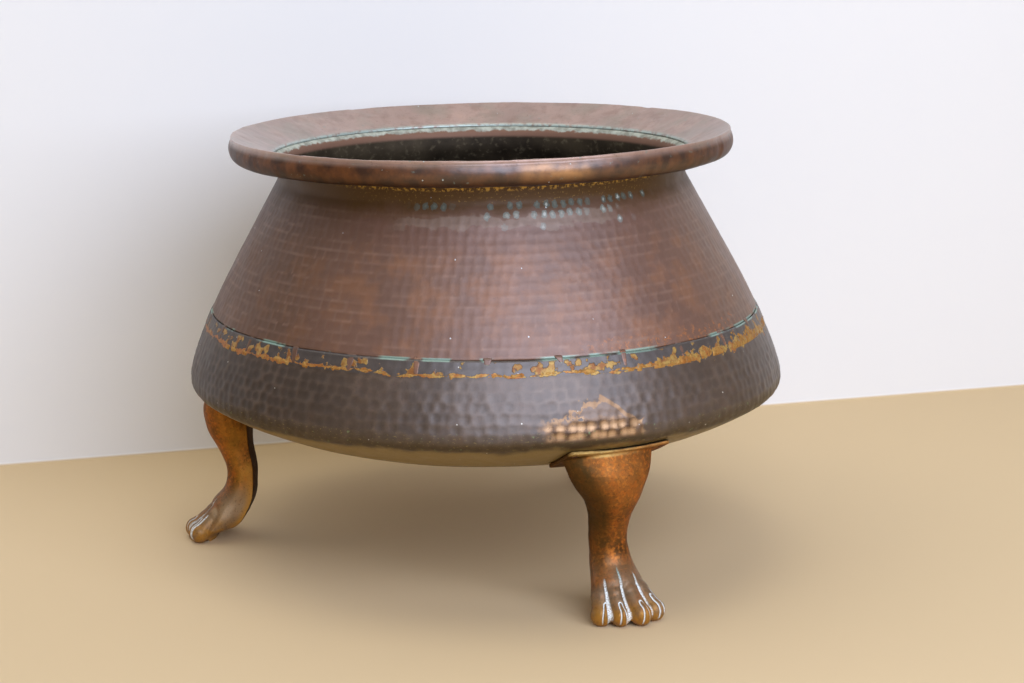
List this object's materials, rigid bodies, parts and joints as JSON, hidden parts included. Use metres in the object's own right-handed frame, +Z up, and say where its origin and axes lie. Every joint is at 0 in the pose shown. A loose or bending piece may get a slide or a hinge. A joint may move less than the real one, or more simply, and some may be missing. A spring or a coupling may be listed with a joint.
{
  "type": "footed copper cauldron",
  "caption": "Hammered copper cauldron with a dished bowl, tapering wall, narrow neck, broad sloping rim and cast paw legs.",
  "frame": {"origin": "middle of the footprint, on the floor; the pot's own axis stands 6 mm toward +X from it, because one pair of toes reaches past the belly on the -X side only", "axes": "+Z up out of the mouth; -Y toward the viewer of the picture, +X to the viewer's right"},
  "size_m": [0.5324, 0.52, 0.3753],
  "materials": {
    "patina_copper": "hammered copper, reddish-brown patina",
    "dark_copper": "hammered copper, dark grey-brown patina",
    "rim_copper": "planished copper, pinkish-brown patina",
    "spelter_brass": "brass brazing, rough with green oxide",
    "wire_iron": "drawn iron wire, scaled",
    "cast_brass": "sand-cast brass, mottled orange-brown patina",
    "rivet_copper": "hammered copper rivet, dark patina"
  },
  "bodies": {
    "root": {"side_wall": "patina_copper", "bowl": "dark_copper", "belly_seam_braze": "spelter_brass", "rim_collar": "rim_copper", "rim_wire": "wire_iron", "rim_seam_braze": "spelter_brass", "leg_front": "cast_brass", "leg_left": "cast_brass", "leg_rear": "cast_brass", "rivet_front_1": "rivet_copper", "rivet_front_2": "rivet_copper", "rivet_front_3": "rivet_copper", "rivet_front_4": "rivet_copper", "rivet_left_1": "rivet_copper", "rivet_left_2": "rivet_copper", "rivet_left_3": "rivet_copper", "rivet_left_4": "rivet_copper", "rivet_rear_1": "rivet_copper", "rivet_rear_2": "rivet_copper", "rivet_rear_3": "rivet_copper", "rivet_rear_4": "rivet_copper"}
  },
  "joints": []
}
